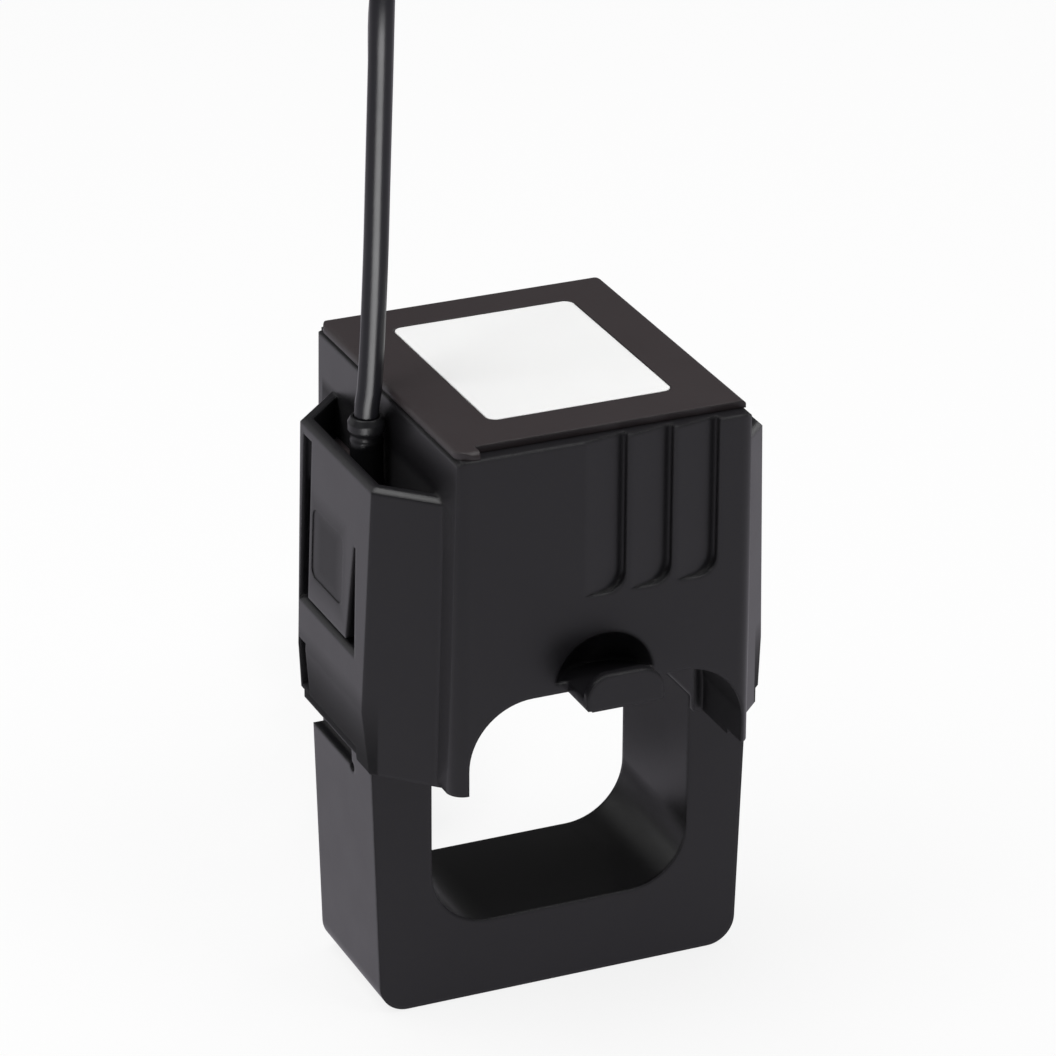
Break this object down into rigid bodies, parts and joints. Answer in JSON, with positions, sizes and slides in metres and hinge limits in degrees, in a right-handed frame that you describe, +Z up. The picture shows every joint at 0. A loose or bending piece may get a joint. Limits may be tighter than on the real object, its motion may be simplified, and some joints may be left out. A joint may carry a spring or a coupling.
{
  "type": "split core current transformer",
  "caption": "Split core current transformer in black plastic: a U-shaped lower yoke and a lift-off head with coil box, tie hooks and an output cable",
  "frame": {"origin": "middle of the yoke's base, on the floor, in the plane of the core", "axes": "+X to the right along the window's width, away from the cable's end; +Y to the back, along the conductor; +Z up"},
  "size_m": [0.0648, 0.1525, 0.1788],
  "materials": {
    "housing_black": "fine spark-eroded satin moulding",
    "cover_black": "satin moulding",
    "label_white": "bare white film",
    "core_steel": "ground strip-wound silicon steel",
    "spring_steel": "cold-rolled spring strip",
    "bobbin_natural": "natural nylon",
    "winding_copper": "enamelled copper wire",
    "wrap_yellow": "polyester insulating film",
    "wire_brown": "extruded insulation",
    "wire_white": "extruded insulation",
    "sleeve_black": "shrunk sleeve",
    "boot_rubber": "soft moulding",
    "cable_jacket": "smooth extruded jacket",
    "tie_black": "nylon tie",
    "ferrule_tin": "tin plate"
  },
  "bodies": {
    "yoke": {"yoke_housing": "housing_black", "yoke_cover": "housing_black", "lower_core": "core_steel", "core_spring": "spring_steel", "cable_hank": "cable_jacket", "hank_tie": "tie_black", "cable_core_brown": "wire_brown", "cable_core_white": "wire_white", "wire_ferrules": "ferrule_tin"},
    "head": {"head_housing": "housing_black", "top_cover": "cover_black", "rating_label": "label_white", "upper_core": "core_steel", "bobbin": "bobbin_natural", "secondary_winding": "winding_copper", "winding_wrap": "wrap_yellow", "lead_wire_start": "wire_brown", "lead_wire_finish": "wire_white", "splice_sleeves": "sleeve_black", "cable_end_seal": "cover_black", "blank_end_seal": "cover_black", "cable_boot": "boot_rubber", "output_cable": "cable_jacket"}
  },
  "joints": [
    {"name": "head_lift", "type": "slide", "parent": "yoke", "child": "head", "axis": [0, 0, 1], "range_m": [0, 0.03]}
  ]
}
